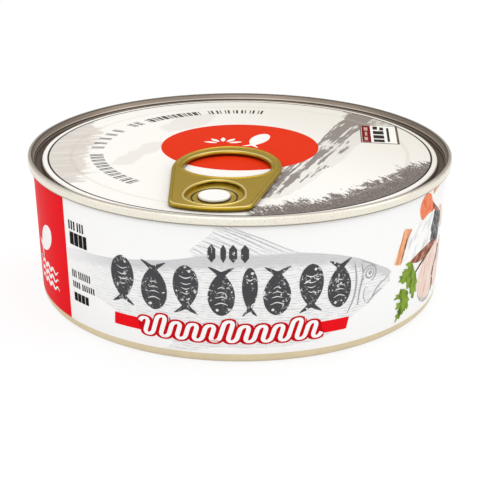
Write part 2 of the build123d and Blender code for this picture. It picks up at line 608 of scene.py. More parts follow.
def ink_finish(name, hue, worn=0.0, mottle=0.05):
    """Printed ink: slightly mottled, a little uneven in gloss, with worn specks where asked."""
    made = Finish(name, shine=0.01)
    made.ground(hue, 1 - mottle, 1 + mottle, made.noise(2.2, 4))
    if worn:
        flakes = made.noise(0.62, 5, 0.7).ramp(0.5 + worn, 0.54 + worn)
        made.over(flakes * made.noise(3.1, 2).ramp(0.42, 0.6), "white")
    return made.done(made.noise(5, 3), 0.31, 0.1, made.noise(0.5, 3), 0.006)


def enamel_finish():
    """White enamel of the wall, with painted shade just under the seam."""
    made = Finish("white_enamel")
    made.ground("white", 0.975, 1.0, made.noise(7, 4))
    below_seam = size("can_height") - size("seam_height")
    # Painted shade: the top millimetre of the wall, under the seam, made greyer.
    made.over(made.z.ramp(below_seam - 1.0, below_seam), "cfcfca", 0.35)
    return made.done(made.noise(4, 3), 0.29, 0.1, made.noise(1.1, 3), 0.008)


def lacquer_finish():
    """Pale gold lacquer on tinplate: the bare band and the base."""
    made = Finish("tin_lacquer", metallic=0.45, coat=0.1)
    radius, edge = made.radius(), size("wall_base")
    made.ground("lacquer", 0.93, 1.05, made.noise(1.6, 5, 0.65))
    off_foot = (radius - 44.9).size().ramp(2.2, 3.4)
    made.over(off_foot * made.noise(5, 4).ramp(0.35, 0.7), shade("lacquer", 0.8), 0.3)
    # Painted shade: greyer towards the bottom edge, where the tin stands on the floor.
    made.over(1 - made.z.ramp(0.3, 1.1), "9d968c", 0.45)
    scuff = made.drawn(0.7, 4, 0.7, 6).ramp(0.62, 0.7) * radius.ramp(edge - 1.0, edge - 0.2)
    made.over(scuff, "b3a68d", 0.4)
    return made.done(made.noise(1.4, 4), 0.34, 0.14, made.noise(0.8, 4), 0.01, 0.6)


def seam_finish():
    """Cream coating over the folded seam, with scuffed specks, painted shade along its lower edge, a painted
    dark reflection on its inner side and painted shade at its inner edge.
    """
    made = Finish("seam_coating", metallic=0.6, shine=0.2)
    rub = made.drawn(0.5, 5, 0.7, 5)
    made.ground("seam", 0.95, 1.03, rub)
    lower_edge = size("can_height") - size("seam_height")
    # Painted shade along the lower edge of the seam.
    made.over(1 - made.z.ramp(lower_edge + 0.25, lower_edge + 0.5), "857f71", 0.9)
    depth = size("seam_radius") - made.radius()
    # Painted dark reflection on the seam's inner side, a dark line of painted shade at its inner edge, and a
    # thin line of painted shade just inside its crest.
    made.over(depth.ramp(0.5, 0.7), "aca196", 0.9)
    made.over(depth.ramp(0.72, 0.86), "2e2620", 0.85)
    made.over(depth.line(0.45, 0.17, 0.26), "524639", 0.5)
    made.over(made.noise(0.28, 3, 0.6).ramp(0.56, 0.64), "a79d8e", 0.4)
    return made.done(rub, 0.32, 0.14, rub, 0.012, 0.6)


def chuck_finish():
    """Grey-brown metal of the chuck wall and the countersink, drawn round by the tool and partly darkened as
    painted reflection, with painted bands of shade, a painted highlight line and painted shade deep in the
    countersink.
    """
    made = Finish("chuck_metal", metallic=0.6)
    drawn = made.drawn(0.35, 4, 0.6, 14)
    made.ground("chuck", 0.8, 1.15, drawn)
    depth = size("can_height") - made.z
    # Painted shade: a dark band just under the seam's inner edge.
    made.over(depth.line(0.25, 0.1, 0.3), shade("chuck", 0.55), 0.5)
    # Painted highlight: a pale line low on the chuck wall.
    made.over(depth.line(1.2, 0.1, 0.2), "e9e3da", 0.6)
    # Painted shade: a dark line below the highlight, and the countersink floor made dark.
    made.over(depth.line(1.5, 0.12, 0.22), "3d3027", 0.9)
    made.over(depth.ramp(1.9, 2.5), "3d3027", 0.8)
    return made.done(drawn, 0.34, 0.15)


def score_shade_finish():
    """Line cut in the panel, painted dark as shade in its groove."""
    made = Finish("score_shade", metallic=0.3, roughness=0.5)
    made.ground("score", 0.7, 1.6, made.noise(1.2, 3))
    return made.done(relief=made.noise(0.4, 2))


def plain_tin_finish():
    """Bare tinplate on faces that nothing shows."""
    made = Finish("plain_tinplate", metallic=0.8)
    made.ground("c9c5bd", 0.9, 1.05, made.noise(3, 4))
    return made.done(relief=made.noise(1.5, 3))


def panel_finish():
    """Printed panel: pale ground with dry-brush art at the left, a rock face and a dark shore."""
    made = Finish("panel_print")
    x, y, radius = made.x, made.y, made.radius()
    made.tone = dye("panel")
    made.over((x * 0.6 + y * 0.6).ramp(-6, 36), "e8e3d8", 0.9)
    made.over(made.noise(9, 3), shade("panel", 0.93), 0.2)
    ragged = made.noise(6.5, 7, 0.62) - 0.5
    grain = made.noise(0.45, 3, 0.7)
    inside = 1 - radius.ramp(size("score_radius") - 0.25, size("score_radius") - 0.15)

    # Dry brush at the left
    dry = made.noise(1.5, 5, 0.65, made.stretched(math.radians(10), 6)) - 0.5
    left = (ragged * 12 + dry * 15 - x - 36.3).ramp(-0.25, 0.4)
    left = left * (26.5 - (y - 0.5).size() + ragged * 22).ramp(-0.4, 0.8)
    wash = dry.ramp(-0.12, 0.12).blend(shade("brush", 0.97), shade("brush", 1.14))
    made.over(left * inside, wash, 0.85)

    # Two faint stains beside the disc
    stain = (3.2 - (x + 23.5 - y * 0.45).size() + ragged * 9).ramp(0, 0.6)
    stain = stain * (10.5 - (y + 1.5).size() + ragged * 8).ramp(0, 1.5)
    off_middle = ((x + 13.0 - (y - 26) * 0.6) ** 2 + (y - 25.5) ** 2 * 0.35) ** 0.5
    back_stain = (5.5 - off_middle + ragged * 8).ramp(0, 0.8)
    made.over(stain.most(back_stain), shade("brush", 1.08), 0.4)

    # Rock face with snow, bowed from the back towards the tab
    along = (y - 2.5) / 35
    across = x - (20.8 + (y - 2.5) * 0.381 + (1 - along * along) * 1.7)
    breadth = 5.7 - along * along * 2.9
    streaks = made.noise(1.5, 5, 0.62, made.stretched(math.radians(69), 8))
    rock = (breadth - across.size() + ragged * 6 + (streaks - 0.5) * 12).ramp(0, 0.4)
    rock = rock * (37.5 - (y - 2.5).size() + ragged * 8).ramp(0, 0.8)
    snow = (streaks + across * 0.02 - along.ramp(0.3, 0.8) * 0.12).ramp(0.48, 0.53)
    rock = rock * (1 - snow * 0.86)
    made.over(rock * inside, grain.blend(shade("crag", 0.72), shade("crag", 1.35)), 0.92)

    # Ridge behind the card
    ridge = (y - 23.2 + ragged * 5).ramp(0, 0.6) * (x - 27.5 + ragged * 8).ramp(0, 1.0)
    ridge = ridge * (0.35 + streaks.ramp(0.42, 0.6) * 0.35)
    made.over(ridge * inside, shade("crag", 1.3))

    # Shore along the edge at the front right
    bearing = made.bearing() * (180 / math.pi) - 41
    spread = (bearing / 39) ** 2
    fronds = made.noise(0.9, 4, 0.7, made.stretched(math.radians(118), 4)) - 0.5
    shore = radius - 38.0 - spread * spread * 5.4 + ragged * 15 + fronds * 17
    flecks = made.noise(0.55, 3, 0.6).ramp(0.57, 0.63) * (1 - shore.ramp(1.0, 4.5))
    shore = shore.ramp(0, 0.35) * (1 - bearing.size().ramp(37.5, 40)) * (1 - flecks)
    made.over(shore * inside, grain.ramp(0.3, 0.72).blend(shade("crag", 0.5), shade("crag", 1.3)))

    # Painted shade: a faint grey line along the edge of the step.
    made.over(radius.line(size("step_radius"), 0.15, 0.8), "c2b8a6", 0.2)
    # Painted shade: a dark band along the score groove, wider than the groove itself.
    made.over(radius.line(size("score_radius"), 0.16, 0.3), "score", 0.95)
    return made.done(grain, 0.33, 0.12, grain, 0.008)


def gold_finish():
    """Gold lacquer over rolled sheet: fine draw marks and darker blotches, painted highlights on the rolled
    crests and behind the rivet, and painted shade on the dish's back wall, in the slot, round the rivet and
    under the rolled edges.
    """
    made = Finish("gold_lacquer", metallic=0.85, coat=0.4)
    made.set("Specular Tint", (1.0, 0.92, 0.6, 1.0))
    drawn = made.noise(0.5, 4, 0.65, made.stretched(math.radians(8), 5))
    made.ground("gold", 0.86, 1.12, drawn)
    made.over(made.noise(2.4, 4, 0.6).ramp(0.5, 0.75), shade("gold", 0.75), 0.3)

    # Place on the tab, from its rivet
    across, along = made.x - size("rivet_x"), made.y - size("rivet_y")
    reach = (across * across + along * along) ** 0.5
    heading = bpy.context.scene.tin_sizes.tab_heading
    forward = across * math.cos(heading) + along * math.sin(heading)
    sideways = along * math.cos(heading) - across * math.sin(heading)
    height = made.z - TAB_LOW.z / MM
    behind = forward * -1 / reach

    def egg(front, back):
        """Share of the way from the rivet to an egg-shaped edge round it."""
        rear = (forward.least(0.0) / back) ** 2
        return (rear + (forward.most(0.0) / front) ** 2 + (sideways / front) ** 2) ** 0.5

    # Painted highlights on the crests of the rolled edges
    ring = ((forward - Tab.centre) / 14.2) ** 2 + (sideways / 11.5) ** 2
    inner_back = (1 - ring.ramp(0.9, 1.0)) * (1 - (forward - Tab.centre).ramp(-7, -3))
    hollow = egg(Tab.dish, Tab.dish_back)
    nose = (1 - hollow.ramp(1.2, 1.3)).most(forward.ramp(4.0, 6.5)) * (1 - reach.ramp(10.6, 11.2))
    made.over(height.ramp(1.08, 1.2) * inner_back.most(nose), "f2e2a6", 0.6)
    # Painted reflection: the dish floor behind the rivet made paler.
    made.over((1 - hollow.ramp(0.7, 0.86)) * behind.ramp(0.4, 0.75), "f2e2a6", 0.45)

    # Painted shade: dark reflection on the back wall of the dish, shade in the slot, a shadow round the foot
    # of the rivet and shade under the rolled edges
    outside = hollow.ramp(1.06, 1.12)
    # Painted dark reflection on the back wall of the dish.
    wall = height.ramp(0.36, 0.42) * (1 - height.ramp(0.8, 0.98)) * behind.ramp(0.72, 0.88)
    wall = wall * hollow.ramp(0.9, 0.97) * (1 - outside) * 0.92
    # Painted shade in the slot round the rivet.
    slot = egg(Tab.slot_radius, Tab.slot_back).line(1, 0.032, 0.052) * behind.ramp(-0.6, -0.5)
    # Painted shadow round the foot of the rivet.
    foot = reach.line(size("rivet_head"), 0.15, 0.4)
    # Painted shade on the lower part of the rolled edges.
    under = (1 - height.ramp(0.4, 0.72)) * outside
    made.over(wall.most(slot).most(foot * 0.85).most(under * 0.8), "352309")
    return made.done(drawn, 0.28, 0.14, drawn, 0.008, 0.6)


def rivet_finish():
    """Pale coated rivet head, with painted shade round the lower edge of the head."""
    made = Finish("rivet_coating", metallic=0.1, coat=0.1)
    rub = made.noise(0.7, 4, 0.6)
    made.ground("rivet", 0.95, 1.03, rub)
    head = size("can_height") - size("panel_depth") + 0.43
    # Painted shade: dark round the lower edge of the head.
    made.over(1 - made.z.ramp(head + 0.1, head + 0.4), "4a3a28", 0.8)
    return made.done(rub, 0.3, 0.12)


def fish_finish():
    """Engraved fish: pale body with broken hatching, a darker back and a rayed fin, fading at the tail."""
    made = Finish("fish_engraving")
    around, wall = made.around(), made.unrolled()
    broken = made.drawn(0.7, 4, 0.7, 3) - 0.5
    rows = made.z + made.noise(6, 3, 0.5, wall) * 1.6 + around * 0.02
    hatch = ((rows * (math.tau / 0.62)).wave() * 0.5 + broken * 3.0).ramp(0.05, 0.75)
    dots = made.noise(0.34, 2, 0.5, wall).ramp(0.57, 0.63) * 0.3
    made.tone = (hatch * 0.5 + 0.13).most(dots).blend("white", "b4b4b7")
    behind, ahead = (around + 5).least(0.0), (around - 17.6).most(0.0)
    above = made.z - (behind * 0.13 - ahead * (ahead * 0.0125 + 0.159) + 25.2)
    made.over((above + 2.4 + broken * 3.0).ramp(-0.9, 0.9), "silver", 0.72)
    rays = (((made.z + around * 0.5) * math.tau).wave() * 0.5 + broken * 1.8).ramp(0.1, 0.7)
    made.over(above.ramp(0.3, 1.2), (rays * 0.5 + 0.1).blend("white", "b4b4b7"))
    made.over((around * -1 - 24 + broken * 14).ramp(0, 22), "white", 0.7)
    return made.done(made.noise(5, 3), 0.31, 0.1, hatch, 0.006)


def flesh_finish(name, light, dark, feature, turn, long, sharp=(0.35, 0.65)):
    """Soft streaked food print between two colours."""
    made = Finish(name)
    grain = made.noise(feature, 5, 0.62, made.stretched(turn, long, made.unrolled()))
    made.tone = grain.ramp(*sharp).blend(light, dark)
    return made.done(made.noise(3, 3), 0.31, 0.1, grain, 0.006)


# ---------------------------------------------------------------- the stage

class StageOperator(Operator):
    """Lays the pale floor, the studio light and the camera"""

    bl_idname = "tin.lay_stage"
    bl_label = "Stage"

    def execute(self, context):
        start_clean()
        self.lay_floor()
        self.stand_card()
        self.light_world(context.scene)
        self.hang_lamps()
        self.set_camera(context.scene)
        context.scene.view_settings.view_transform = "Standard"
        return {"FINISHED"}

    def lay_floor(self):
        """Matt paper that the camera and polished metal see as bright."""
        bpy.ops.mesh.primitive_circle_add(vertices=96, radius=3, fill_type="NGON")
        floor = named("studio_floor")
        made = Finish("floor_paper", roughness=0.9)
        made.set("Base Color", made.noise(40, 3).blend((0.9, 0.9, 0.9, 1), (0.92, 0.92, 0.92, 1)))
        self.glow(made.wire, Wire(made.wire.tree, made.shader.outputs[0]), "Emission", 1.04,
                  made.wire.rays("Camera", "Glossy") * 0.8)
        floor.data.materials.append(made.material)

    def glow(self, wire, matt, kind, strength, share):
        """Mixes a share of white light into a surface or into the world."""
        light = wire.node("ShaderNode" + kind, None, {"Color": (1, 1, 1, 1), "Strength": strength})
        mixed = wire.node("ShaderNodeMixShader", None, {0: share, 1: matt, 2: light})
        output = next(node for node in wire.tree.nodes if node.type.startswith("OUTPUT"))
        wire.tree.links.new(mixed.socket, output.inputs["Surface"])

    def stand_card(self):
        """Grey card round the back and the sides, which only polished metal mirrors."""
        bpy.ops.mesh.primitive_cylinder_add(
            vertices=64, radius=0.7, depth=0.3, end_fill_type="NOTHING", location=(0, 0, 0.16)
        )
        card = named("dark_card")
        with editing(card):
            bpy.ops.mesh.bisect(plane_co=(0, -0.05, 0), plane_no=(0, -1, 0), clear_outer=True)
        made = Finish("card_black", roughness=0.9)
        made.set("Base Color", made.noise(30, 2).blend((0.3, 0.29, 0.28, 1), (0.34, 0.33, 0.32, 1)))
        card.data.materials.append(made.material)
        for ray in ("camera", "diffuse", "shadow", "transmission", "volume_scatter"):
            setattr(card, "visible_" + ray, False)

    def light_world(self, scene):
        """Soft white air, full white where it is looked at."""
        scene.world = bpy.data.worlds.new("studio_air")
        scene.world.use_nodes = True
        tree = scene.world.node_tree
        tree.nodes.clear()
        tree.nodes.new("ShaderNodeOutputWorld")
        air = Wire(tree)
        soft = air.node("ShaderNodeBackground", None, {"Color": (1, 1, 1, 1), "Strength": 0.66})
        self.glow(air, soft, "Background", 1.0, air.rays("Camera", "Glossy", "Transmission"))

    def hang_lamps(self):
        for name, spot, turn, extent, power in (
            ("front_softbox", (-0.15, -0.75, 0.55), (57, 0, -11), 0.6, 2.1),
            ("top_softbox", (0.1, 0.25, 0.9), (-15, 6, 0), 0.7, 2.2),
            ("left_fill", (-0.8, -0.1, 0.35), (0, -66, 0), 0.5, 0.5),
            ("right_fill", (0.8, -0.1, 0.35), (0, 66, 0), 0.5, 1.3),
        ):
            bpy.ops.object.light_add(
                type="AREA", location=spot, rotation=[math.radians(a) for a in turn]
            )
            lamp = named(name)
            lamp.data.size = extent
            lamp.data.energy = power

    def set_camera(self, scene):
        bpy.ops.object.camera_add(location=(0.0, -0.2947, 0.1240))
        camera = named("studio_camera")
        camera.rotation_mode = "ZYX"
        camera.rotation_euler = (math.radians(68.87), 0, math.radians(0.26))
        camera.data.lens = 94.5
        camera.data.sensor_width = 36
        camera.data.shift_x = 0.00125
        camera.data.clip_start = 0.01
        scene.camera = camera


# ---------------------------------------------------------------- metal

class BodyOperator(Operator):
    """Turns the drawn body: wall, rounded corner, foot ring and beaded base"""

    bl_idname = "tin.turn_body"
    bl_label = "Body"

    def execute(self, context):
        recess, top = size("base_recess"), size("can_height") - size("seam_height")
        base, corner, band = size("wall_base"), size("corner"), size("band_height")
        foot_outer = base - corner
        under_groove = size("can_height") - size("groove_depth") - 0.3
        under_panel = size("can_height") - size("panel_depth") - size("step_depth") - 0.3
        wall_slope = (size("wall_top") - base) / (top - corner)
        piece = lathe("body_shell", rounded([
            # Base, with a fine bead and a wide one
            (0, recess, 0), (30.6, recess, 0.6), (31.2, recess + 0.3, 0.4),
            (32.2, recess + 0.3, 0.4), (32.8, recess, 0.6),
            (35.0, recess, 0.8), (36.2, recess + 0.5, 0.9), (37.4, recess, 0.8),
            # Foot ring and wall
            (foot_outer - 2.8, recess, 0.7), (foot_outer - 1.5, 0, 0.6), (base - 0.08, 0, corner),
            (base + wall_slope * (band - corner), band, 0), (size("wall_top"), top, 0),
            # Filled top, just under the end
            (49.79, top, 0), (49.7, under_groove, 0), (47.6, under_groove, 0),
            (47.3, under_panel, 0), (0, under_panel, 0),
        ]))
        finish_piece(piece, "body_print", enamel_finish(), lacquer_finish(), node="can_body")
        paint_faces(piece, lambda out, z, normal: int(z < band or normal.z > 0.5))
        return {"FINISHED"}


class EndOperator(Operator):
    """Turns the easy-open end: seam, chuck wall, countersink, score line, stepped panel and rivet"""

    bl_idname = "tin.turn_end"
    bl_label = "End"

    plate = 0.25
    head_lift = 0.43

    def execute(self, context):
        self.turn_end()
        self.turn_rivet()
        return {"FINISHED"}

    def turn_end(self):
        high, seam_out = size("can_height"), size("seam_radius")
        seam_in = seam_out - size("seam_width")
        low, plate = high - size("seam_height"), self.plate
        top, floor = high - size("panel_depth"), high - size("groove_depth")
        centre, score = top - size("step_depth"), size("score_radius")
        rim = size("panel_radius")
        groove_out, groove_in = seam_in - 0.55, seam_in - 2.0
        piece = lathe("end_shell", rounded([
            # Panel, with its step and its score line
            (0, centre, 0), (size("step_radius") - 0.5, centre, 0.5), (size("step_radius"), top, 0.5),
            (score - 0.12, top, 0), (score - 0.03, top - 0.09, 0),
            (score + 0.03, top - 0.09, 0), (score + 0.12, top, 0), (rim, top, 0.35),
            # Countersink, chuck wall and seam
            (groove_in, floor, 0.45), (groove_out, floor, 0.45), (seam_in, high, 0.6),
            (seam_out - 0.04, high, 0.55), (seam_out, high - 0.95, 0.4), (seam_out - 0.1, low, 0.32),
            # Underside
            (49.74, low, 0), (groove_out + plate, floor - plate, 0), (groove_in - plate, floor - plate, 0),
            (rim - plate, centre - plate, 0), (0, centre - plate, 0),
        ]))
        finish_piece(
            piece, "end_coating", panel_finish(), seam_finish(), chuck_finish(), score_shade_finish(),
            plain_tin_finish(), node="lid_end",
        )

        def part(out, z, normal):
            if normal.z < -0.5 and out < seam_in:
                return 4
            # Faces of the score groove take the dark score colour, which is painted shade.
            if abs(out - score) < 0.11:
                return 3
            return 1 if out > seam_in else 2 if out > rim + 0.05 else 0

        paint_faces(piece, part)

    def turn_rivet(self):
        """Pad under the tab, shank and head."""
        panel, out = size("can_height") - size("panel_depth"), size("rivet_head")
        pad_low, pad_top, head = panel - 0.37, panel - 0.02, panel + self.head_lift
        rivet = lathe("rivet_head", rounded([
            (0, pad_low, 0), (4.6, pad_low, 0), (4.6, pad_top, 0.08), (2.5, pad_top, 0), (2.5, head, 0),
            (out, head, 0.12), (out, head + 0.8, 0.32), (out - 1.1, head + 0.72, 0.5), (0, head + 0.7, 0),
        ]), steps=96)
        rivet.location = (size("rivet_x") * MM, size("rivet_y") * MM, 0)
        apply_place(rivet)
        finish_piece(rivet, "end_coating", rivet_finish(), node="lid_end")


class TabOperator(Operator):
    """Presses the pull tab: rolled edges, finger hole, dished nose and slotted tongue"""

    bl_idname = "tin.press_tab"
    bl_label = "Pull tab"

    def execute(self, context):
        piece = joined(self.press_frame(), self.press_tongue())
        piece.scale = (MM, MM, MM)
        piece.rotation_euler = (0, 0, context.scene.tin_sizes.tab_heading)
        piece.location = (size("rivet_x") * MM, size("rivet_y") * MM, TAB_LOW.z)
        apply_place(piece)
        smooth(piece, 40)
        finish_piece(piece, "tab_lacquer", gold_finish(), node="pull_tab")
        return {"FINISHED"}

    def outline(self):
        """Outline about the rivet, nose towards +X: an oval ring end, straight sides, a bowed nose."""
        start = math.atan2(Tab.half_width, math.tan(Tab.side_angle) * Tab.half_length)
        ring = arc(Tab.centre, 0, Tab.half_length, Tab.half_width, start, math.tau - start, 97)
        outward = Vector((math.sin(Tab.side_angle), math.cos(Tab.side_angle)))
        along = Vector((outward.y, -outward.x))
        hub = Vector((Tab.nose_reach - Tab.nose_radius, 0))
        lift = outward.dot(Vector(ring[0]) - hub) - Tab.nose_corner
        reach = math.sqrt((Tab.nose_radius - Tab.nose_corner) ** 2 - lift ** 2)
        corner = hub + outward * lift + along * reach
        tip = math.atan2(corner.y - hub.y, corner.x - hub.x)
        turn = math.atan2(outward.y, outward.x)
        bend = arc(*corner, Tab.nose_corner, Tab.nose_corner, turn, tip, 13)
        nose = arc(hub.x, 0, Tab.nose_radius, Tab.nose_radius, -tip * 11 / 12, tip * 11 / 12, 23)
        return ring + [(x, -y) for x, y in bend] + nose + bend[::-1]

    def dish_edge(self, spare=0.0):
        """Edge of the dish, longer behind the rivet than in front of it."""
        return oval(0, 0, Tab.dish + spare, points=96, back=Tab.dish_back + spare)

    def slot_band(self, half):
        """Band round the rivet, open towards the nose, half wide on each side of the slot's middle."""
        first, last = math.pi - Tab.slot_sweep / 2, math.pi + Tab.slot_sweep / 2
        outer, inner = (
            arc(0, 0, Tab.slot_radius + spare, Tab.slot_radius + spare, first, last, 49,
                Tab.slot_back + spare)
            for spare in (half, -half)
        )
        return outer + inner[::-1]

    def section(self):
        """Cut through a rolled edge: (distance in from the edge, height), from below to the web on top."""
        roll, top = Tab.roll, Tab.thickness
        turns = [(1 - math.sin(math.radians(15 * k)), 1 - math.cos(math.radians(15 * k))) for k in range(7)]
        below = [(roll * a, roll * b) for a, b in turns]
        above = [(roll * b, top - roll * a) for a, b in turns]
        web = [(0.62, top), (0.74, top - 0.05), (0.85, top - 0.14), (0.94, top - 0.18), (1.0, top - 0.18)]
        return below + above + web

    def press_frame(self):
        """Sheet with rolled edges round its outline, its finger hole and its dish."""
        hole = oval(Tab.centre, 0, Tab.hole_front, Tab.half_width - Tab.side_band, 120, Tab.hole_back)
        edges = [self.outline(), hole[::-1], self.dish_edge()[::-1]]
        section = self.section()
        points, faces = [], []
        for edge in edges:
            count = len(edge)
            for step, (inset, height) in enumerate(section):
                first = len(points)
                points += [(x, y, height) for x, y in moved_in(edge, inset)]
                for k in range(count if step else 0):
                    after = (k + 1) % count
                    faces.append((first + k, first - count + k, first - count + after, first + after))
        mesh = bpy.data.meshes.new("tab_press")
        mesh.from_pydata(points, [], faces)
        piece = linked("tab_press", mesh)
        caps = []
        for inset, height in (section[0], section[-1]):
            cap = flat("tab_cap", [moved_in(edge, inset) for edge in edges])
            cap.location.z = height
            apply_place(cap)
            caps.append(cap)
        joined(piece, *caps)
        with editing(piece):
            seal(1e-3)
        return piece

    def press_tongue(self):
        """Thin floor of the dish, with the slot that frees the tongue and the hole for the rivet."""
        slot = self.slot_band(Tab.slot_half)
        plate = flat("tab_tongue", [self.dish_edge(0.2), slot, oval(0, 0, Tab.rivet_hole)])
        # Dark sheet under the slot, which the gold finish paints dark as shade in the gap.
        floor = flat("slot_shade_sheet", [self.slot_band(Tab.slot_half + 0.08)])
        floor.location.z = 0.06
        apply_place(floor)
        for sheet, depth in ((plate, Tab.sheet), (floor, 0.08)):
            with editing(sheet):
                bpy.ops.mesh.extrude_region_move(TRANSFORM_OT_translate={"value": (0, 0, depth)})
                bpy.ops.mesh.select_all(action="SELECT")
                bpy.ops.mesh.normals_make_consistent(inside=False)
        return joined(plate, floor)


# ---------------------------------------------------------------- print on the wall

# Drawings on the wall are in millimetres: distance round from the front, height.
FISH_OUTLINE = [
    (-44.6, 20.2), (-39.7, 21.1), (-34.2, 21.3), (-29.7, 21.7), (-23.6, 22.6), (-15.8, 23.7),
    (-12.6, 24.4), (-9.7, 25.1), (-10.8, 26.5), (-9.4, 27.7), (-8.0, 28.9), (-6.6, 30.0),
    (-5.7, 31.0), (-5.5, 32.5), (-1.2, 32.5), (3.2, 30.2), (8.2, 28.0), (12.9, 26.0),
    (17.6, 25.2), (22.1, 24.2), (27.5, 22.4), (32.6, 19.8), (35.9, 18.1), (37.5, 16.9),
    (36.9, 15.9), (37.3, 14.5), (35.3, 13.4), (31.2, 11.0), (26.2, 8.6), (22.4, 6.4), (18.3, 4.7),
    (10.0, 4.0), (2.3, 3.9), (-4.8, 4.2), (-9.6, 3.0), (-16.4, 2.6), (-14.6, 4.6), (-19.0, 5.6),
    (-24.4, 7.6), (-31.8, 10.1), (-36.5, 11.5), (-44.6, 13.2),
]
FISH_LINES = [
    ([(26.3, 21.6), (27.0, 17.6), (26.6, 13.4), (25.0, 9.8)], 0.5),
    ([(28.3, 20.8), (28.7, 18.2), (28.0, 14.4), (27.7, 11.2)], 0.32),
    ([(29.7, 15.2), (29.2, 13.0), (29.9, 11.2)], 0.26),
    ([(36.4, 15.9), (34.2, 14.9), (32.7, 13.6), (31.6, 11.9)], 0.36),
    ([(35.2, 17.6), (33.6, 18.4), (32.3, 19.3)], 0.22),
    ([(27.9, 21.7), (30.4, 20.7), (32.6, 19.4)], 0.24),
    ([(30.4, 10.9), (32.4, 12.6), (34.6, 13.6)], 0.22),
]
FISH_EYE = [
    (30.6, 18.1, 2.05), (30.6, 18.1, 1.75), (30.6, 18.1, 1.25), (30.7, 18.2, 0.95), (30.75, 18.25, 0.5),
]
FIN_RAYS = [
    ((-10.2, 26.9), (-7.6, 25.7)), ((-9.0, 27.9), (-4.7, 25.9)), ((-7.8, 28.9), (-1.8, 26.1)),
    ((-6.6, 29.8), (1.2, 26.2)), ((-5.5, 30.9), (4.2, 26.3)), ((-5.0, 32.2), (7.0, 26.3)),
    ((-3.5, 32.2), (9.5, 26.2)), ((-2.0, 32.2), (11.8, 26.1)),
]
# Right half of a small sardine that stands on its tail, one wide and one high
HALF_SARDINE = [
    (0.0, 1.0), (0.34, 0.972), (0.66, 0.9), (0.9, 0.78), (1.0, 0.62), (0.93, 0.46), (0.7, 0.31),
    (0.42, 0.2), (0.34, 0.15), (0.95, 0.0), (0.45, 0.035), (0.0, 0.085),
]
SARDINE = HALF_SARDINE + [(-u, v) for u, v in HALF_SARDINE[-2:0:-1]]


class FishOperator(Operator):
    """Prints the big engraved fish behind the row"""

    bl_idname = "tin.print_fish"
    bl_label = "Engraved fish"

    def execute(self, context):
        wall_print("fish_print", [FISH_OUTLINE], fish_finish())
        loops = [swept(points, width) for points, width in FISH_LINES]
        for start, end in FIN_RAYS:
            sag = (Vector(start) + Vector(end)) / 2 + Vector((0, 0.35))
            loops.append(swept([start, tuple(sag), end], 0.14))
        loops += [oval(*circle) for circle in FISH_EYE]
        wall_print("fish_lines", loops, ink_finish("line_ink", "a9a9ac", mottle=0.1), 2)
        return {"FINISHED"}


class RowOperator(Operator):
    """Prints the row of eight upright sardines, with four lozenges over it"""

    bl_idname = "tin.print_row"
    bl_label = "Sardine row"

    low, high = 11.7, 23.0
    spans = (
        (-29.9, -23.9), (-22.1, -15.9), (-14.5, -8.8), (-6.8, -0.9), (0.6, 4.0), (5.2, 11.3),
        (13.1, 18.7), (19.8, 25.6),
    )
    lozenges = ((-5.9, 0.85), (-3.4, 0.6), (-1.3, 0.85), (1.2, 0.85))

    def execute(self, context):
        loops = []
        for index, (start, end) in enumerate(self.spans):
            loops += self.sardine((start + end) / 2, (end - start) / 2, index % 2)
        wall_print("sardine_row", loops, ink_finish("worn_charcoal", "charcoal", worn=0.06), 3)
        loops = [
            [(s, 24.1), (s + half, 25.2), (s + half, 27.2), (s, 28.3), (s - half, 27.2), (s - half, 25.2)]
            for s, half in self.lozenges
        ]
        wall_print("lozenge_row", loops, ink_finish("charcoal_small", "charcoal", worn=0.1), 3)
        return {"FINISHED"}

    def sardine(self, middle, half, turned):
        """One sardine standing on its tail or its nose, with its eye, gill and scale marks left bare."""
        def laid(line):
            side, low, high = (-half, self.high, self.low) if turned else (half, self.low, self.high)
            return [(middle + u * side, low + v * (high - low)) for u, v in line]

        marks = [(0.78, -0.045, 0.5, 0.3)]
        if half > 2:
            marks += [(0.64, -0.03, 0.42, 0.26), (0.54, -0.03, 0.36, 0.26), (0.44, -0.03, 0.28, 0.26)]
        loops = [laid(flowing(SARDINE, steps=4)), laid(oval(0.3, 0.885, 0.34 / half, 0.03, 20))]
        for v, sag, reach, width in marks:
            line = flowing([(-reach, v), (0, v + sag), (reach, v)], closed=False)
            loops.append(stroke(laid(line), width))
        return loops


